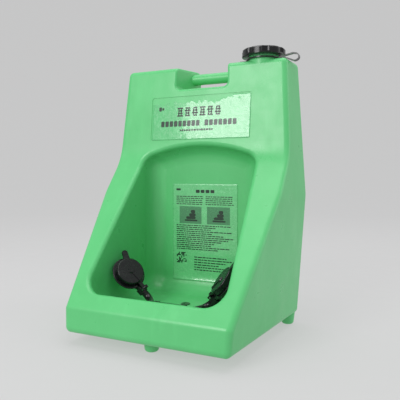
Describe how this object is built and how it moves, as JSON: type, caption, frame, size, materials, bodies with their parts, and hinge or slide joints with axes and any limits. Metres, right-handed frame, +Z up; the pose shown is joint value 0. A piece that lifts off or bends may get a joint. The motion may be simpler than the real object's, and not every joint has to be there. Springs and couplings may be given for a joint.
{
  "type": "eyewash station",
  "caption": "Portable gravity-fed eyewash station: hollow green tank with sloping front basin, carrying handle, screw filler cap and two capped spray heads.",
  "frame": {"origin": "on the ground under the middle of the whole object's bounding box", "axes": "+Z up, -Y the front that the basin opens to, +X to the right of the front as seen by the user"},
  "size_m": [0.4428, 0.342, 0.604],
  "materials": {
    "tank_green": "moulded polyethylene, fine satin",
    "black_gloss": "gloss moulded",
    "black_satin": "satin moulded",
    "black_rubber": "matt",
    "label_clear": null,
    "label_green": null,
    "drain_green": "satin moulded",
    "foam_grey": "open-cell foam",
    "grey_plastic": "satin moulded",
    "pin_steel": "drawn",
    "insert_brass": "turned"
  },
  "bodies": {
    "tank": {"tank_shell": "tank_green", "cap_tether": "black_satin", "front_label": "label_clear", "instruction_label": "label_green", "drain_sleeve": "drain_green", "drain_grate": "drain_green", "outlet_insert": "insert_brass", "outlet_strainer": "grey_plastic", "supply_tee": "black_satin", "left_tube_seal": "black_rubber", "right_tube_seal": "black_rubber", "left_arm_tube": "black_satin", "right_arm_tube": "black_satin", "left_tube_nut": "black_satin", "right_tube_nut": "black_satin", "left_head_body": "black_satin", "right_head_body": "black_satin", "left_diffuser": "grey_plastic", "right_diffuser": "grey_plastic", "left_foam_filter": "foam_grey", "right_foam_filter": "foam_grey", "left_flow_restrictor": "grey_plastic", "right_flow_restrictor": "grey_plastic", "left_hinge_clip": "black_satin", "right_hinge_clip": "black_satin", "left_hinge_pin": "pin_steel", "right_hinge_pin": "pin_steel"},
    "cap_gasket": {"cap_gasket": "black_rubber"},
    "filler_cap": {"filler_cap": "black_gloss"},
    "vent_valve": {"vent_valve": "black_rubber"},
    "left_dust_cap": {"left_dust_cap": "black_satin", "left_cap_seal": "black_rubber"},
    "right_dust_cap": {"right_dust_cap": "black_satin", "right_cap_seal": "black_rubber"}
  },
  "joints": [
    {"name": "cap_lift", "type": "slide", "parent": "tank", "child": "cap_gasket", "axis": [0, 0, 1], "range_m": [0, 0.0126]},
    {"name": "cap_turn", "type": "hinge", "parent": "cap_gasket", "child": "filler_cap", "pos_m": [0.134, 0.1235, 0.596], "axis": [0, 0, 1], "range_deg": [0, 900]},
    {"name": "vent_drop", "type": "slide", "parent": "filler_cap", "child": "vent_valve", "axis": [0, 0, -1], "range_m": [0, 0.0015], "stiffness_N_per_m": 150},
    {"name": "left_cap_flip", "type": "hinge", "parent": "tank", "child": "left_dust_cap", "pos_m": [-0.07656, -0.02856, 0.09048], "axis": [0.1753, 0.8976, 0.4044], "range_deg": [0, 90]},
    {"name": "right_cap_flip", "type": "hinge", "parent": "tank", "child": "right_dust_cap", "pos_m": [0.07656, -0.02856, 0.09048], "axis": [0.1753, -0.8976, -0.4044], "range_deg": [0, 90]}
  ],
  "couplings": [
    {"joint": "cap_lift", "follows": "cap_turn", "m_per_rad": 0.00079577}
  ]
}
